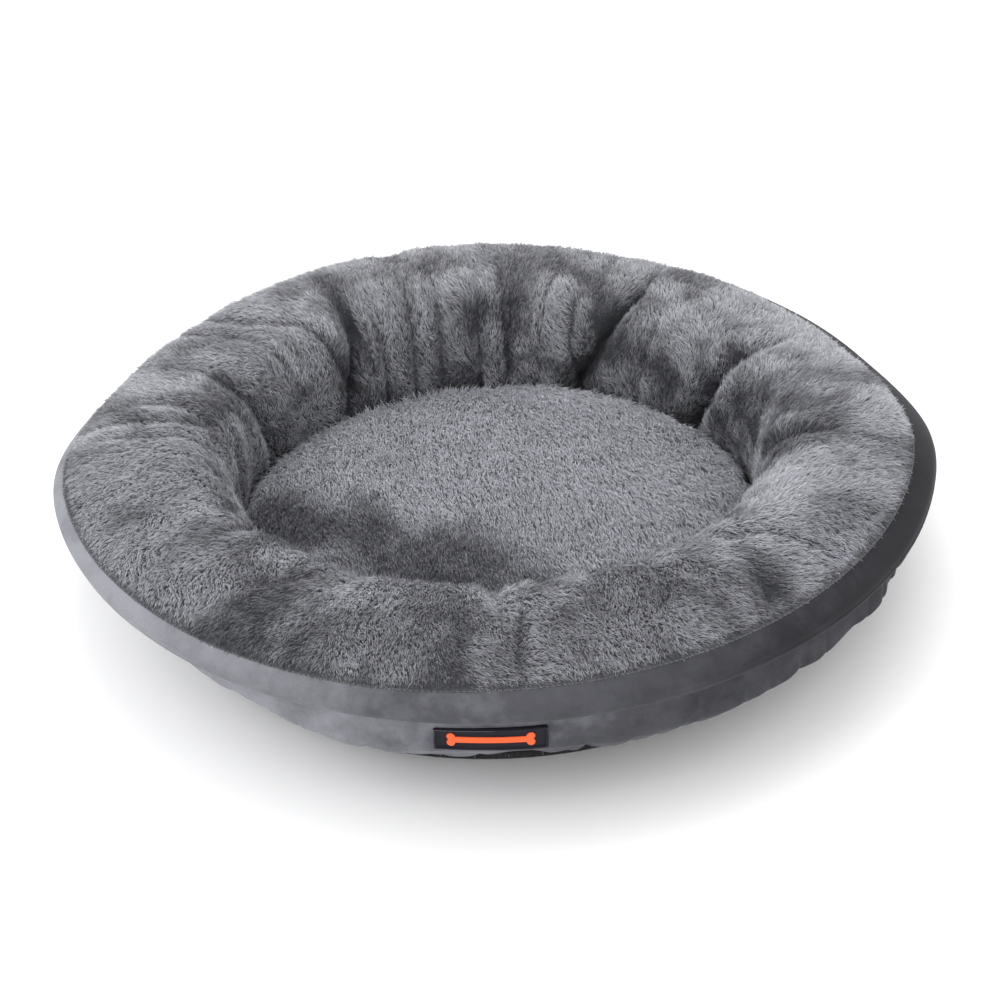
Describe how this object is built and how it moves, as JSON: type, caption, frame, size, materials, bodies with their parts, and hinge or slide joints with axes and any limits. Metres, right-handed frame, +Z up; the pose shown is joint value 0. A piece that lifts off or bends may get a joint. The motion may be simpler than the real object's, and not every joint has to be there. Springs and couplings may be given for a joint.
{
  "type": "pet cushion bed",
  "caption": "Round padded pet bed: a soft plush bowl with a rolled bolster, a velvet side and rim band, and a loose domed cushion in the well.",
  "frame": {"origin": "centre of the flat underside, on the surface that the bed stands on", "axes": "+Z up; -Y towards the front, where the label is sewn; +X to the right seen from the front"},
  "size_m": [0.6999, 0.7, 0.135],
  "materials": {
    "plush": "long pile plush",
    "velvet": "short pile velvet",
    "base_cloth": "non-slip woven cloth with small grip dots",
    "lining": "plain woven",
    "fibre": "loose polyester fibre",
    "thread": "sewing thread",
    "label_rubber": "matte moulded rubber",
    "label_thread": "sewing thread",
    "motif_rubber": "satin moulded rubber"
  },
  "bodies": {
    "bed": {"base_sheet": "base_cloth", "base_wadding": "fibre", "floor_lining": "lining", "side_panel": "velvet", "rim_band": "velvet", "rim_band_wadding": "fibre", "bolster_cover": "plush", "bolster_filling": "fibre", "label_patch": "label_rubber", "label_stitching": "label_thread", "label_motif": "motif_rubber", "base_hem_thread": "thread", "rim_seam_thread": "thread"},
    "cushion": {"cushion_top_cover": "plush", "cushion_underside": "lining", "cushion_filling": "fibre", "cushion_seam_thread": "thread"}
  },
  "joints": [
    {"name": "cushion_lift", "type": "slide", "parent": "bed", "child": "cushion", "axis": [0, 0, 1], "range_m": [0, 0.2]}
  ]
}
